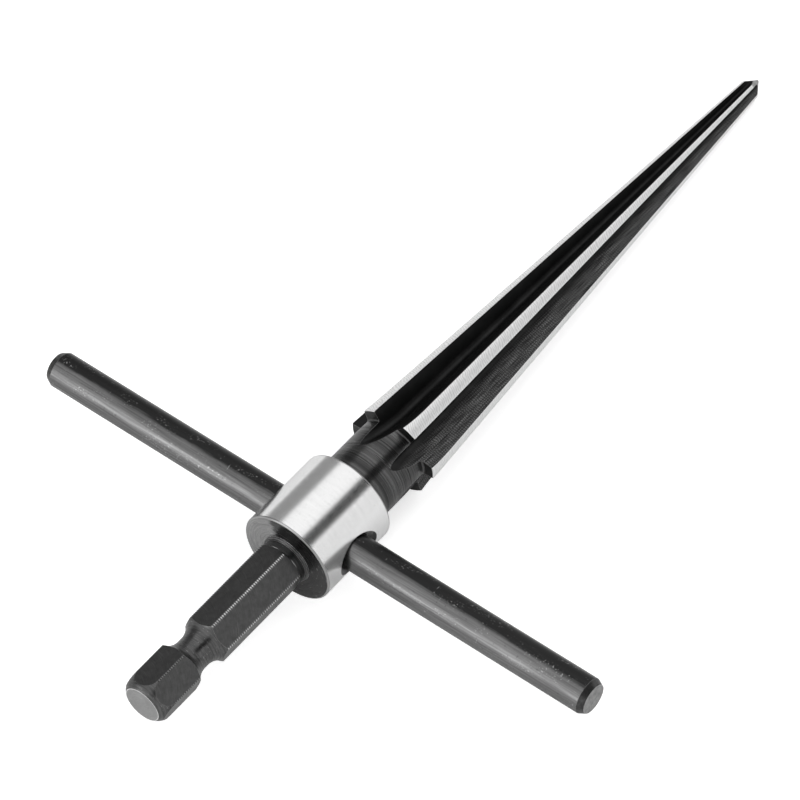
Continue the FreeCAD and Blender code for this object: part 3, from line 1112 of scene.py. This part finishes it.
def makeFloor():
    material, tree = emptyMaterial("white floor")
    diffuse = addNode(tree, "ShaderNodeBsdfDiffuse", {"Color": grey(stage["floorTone"])})
    path = addNode(tree, "ShaderNodeLightPath").outputs
    lift = times(tree, path["Is Camera Ray"], stage["floorLift"])
    glow = addNode(tree, "ShaderNodeEmission", {"Color": grey(1.0), "Strength": lift})
    total = addNode(tree, "ShaderNodeAddShader", {0: diffuse.outputs[0], 1: glow.outputs[0]})
    addNode(tree, "ShaderNodeOutputMaterial", {"Surface": total.outputs[0]})
    half = stage["floorSize"] / 2
    corners = [(-half, -half, 0), (half, -half, 0), (half, half, 0), (-half, half, 0)]
    floor = flatPiece("floor", corners, material)


def makeWorld():
    world = bpy.data.worlds.new("white room")
    bpy.context.scene.world = world
    world.use_nodes = True
    tree = world.node_tree
    tree.nodes.clear()
    path = addNode(tree, "ShaderNodeLightPath").outputs
    seen = calculate(tree, "MAXIMUM", path["Is Camera Ray"], path["Is Glossy Ray"])
    seen = calculate(tree, "MAXIMUM", seen, path["Is Transmission Ray"])
    strength = remap(tree, seen, 0.0, 1.0, stage["worldFill"], 1.0)
    background = addNode(tree, "ShaderNodeBackground", {"Color": grey(1.0), "Strength": strength})
    addNode(tree, "ShaderNodeOutputWorld", {"Surface": background.outputs[0]})


def makeCard(name, corners, tone):
    material, tree = emptyMaterial(name)
    glow = addNode(tree, "ShaderNodeEmission", {"Color": grey(tone), "Strength": 1.0})
    addNode(tree, "ShaderNodeOutputMaterial", {"Surface": glow.outputs[0]})
    card = flatPiece(name, corners, material)
    for ray in ("camera", "diffuse", "shadow", "transmission", "volume_scatter"):
        setattr(card, "visible_" + ray, False)


def makeCards():
    far = stage["cardDistance"]
    for strip in studioStrips:
        turn = math.radians(strip["along"])
        middle = Vector((0, math.cos(turn), math.sin(turn))) * far
        half = far * math.tan(math.radians(strip["spread"] / 2))
        across = Vector((0, -math.sin(turn), math.cos(turn))) * half
        corners = [middle + across * side + Vector((strip[end], 0, 0))
                   for side, end in ((-1, "from"), (1, "from"), (1, "to"), (-1, "to"))]
        makeCard(strip["name"], corners, strip["tone"])
    azimuth = math.radians(keyCard["azimuth"])
    elevation = math.radians(keyCard["elevation"])
    level = Vector((math.cos(azimuth), math.sin(azimuth), 0))
    toward = level * math.cos(elevation) + Vector((0, 0, math.sin(elevation)))
    right = toward.cross(Vector((0, 0, 1))).normalized() * math.tan(math.radians(keyCard["width"] / 2))
    up = right.cross(toward).normalized() * math.tan(math.radians(keyCard["height"] / 2))
    corners = [(toward + right * a + up * b) * far * 0.9 for a, b in ((-1, -1), (1, -1), (1, 1), (-1, 1))]
    makeCard(keyCard["name"], corners, keyCard["tone"])


lamps = [
    {"name": "overhead", "place": (0.3, -0.2, 1.3), "size": 1.0, "power": 6.0},
    {"name": "side", "place": (-1.1, -0.5, 0.9), "size": 0.8, "power": 3.0},
]


def makeLamps():
    for lamp in lamps:
        data = bpy.data.lights.new(lamp["name"], "AREA")
        data.shape = "SQUARE"
        data.size = lamp["size"]
        data.energy = lamp["power"]
        item = bpy.data.objects.new(lamp["name"], data)
        item.location = lamp["place"]
        item.rotation_euler = (-Vector(lamp["place"])).to_track_quat("-Z", "Y").to_euler()
        item.visible_glossy = False
        bpy.context.scene.collection.objects.link(item)


makeFloor()
makeWorld()
makeCards()
makeLamps()
print("stage made")


# Camera, at the angle and distance of the photograph

view = {
    "aim": (-8.082, 4.397, 6.581),
    "distance": 600.85,
    "heading": 44.255,
    "elevation": 52.876,
    "roll": 9.480,
    "lens": 208.94,
    "sensor": 36.0,
}


def makeCamera():
    heading = math.radians(view["heading"])
    elevation = math.radians(view["elevation"])
    roll = math.radians(view["roll"])
    forward = Vector((math.sin(heading) * math.cos(elevation), math.cos(heading) * math.cos(elevation),
                      -math.sin(elevation)))
    levelRight = Vector((math.cos(heading), -math.sin(heading), 0))
    levelUp = levelRight.cross(forward)
    right = levelRight * math.cos(roll) - levelUp * math.sin(roll)
    up = levelUp * math.cos(roll) + levelRight * math.sin(roll)
    data = bpy.data.cameras.new("camera")
    data.lens = view["lens"]
    data.sensor_width = view["sensor"]
    data.clip_start = 0.01
    data.clip_end = 20.0
    camera = bpy.data.objects.new("camera", data)
    place = Matrix((right, up, -forward)).transposed().to_4x4()
    place.translation = (Vector(view["aim"]) - forward * view["distance"]) * millimetre
    camera.matrix_world = place
    bpy.context.scene.collection.objects.link(camera)
    bpy.context.scene.camera = camera


makeCamera()
bpy.context.scene.view_settings.view_transform = "Standard"
print("camera set")

bpy.context.view_layer.update()
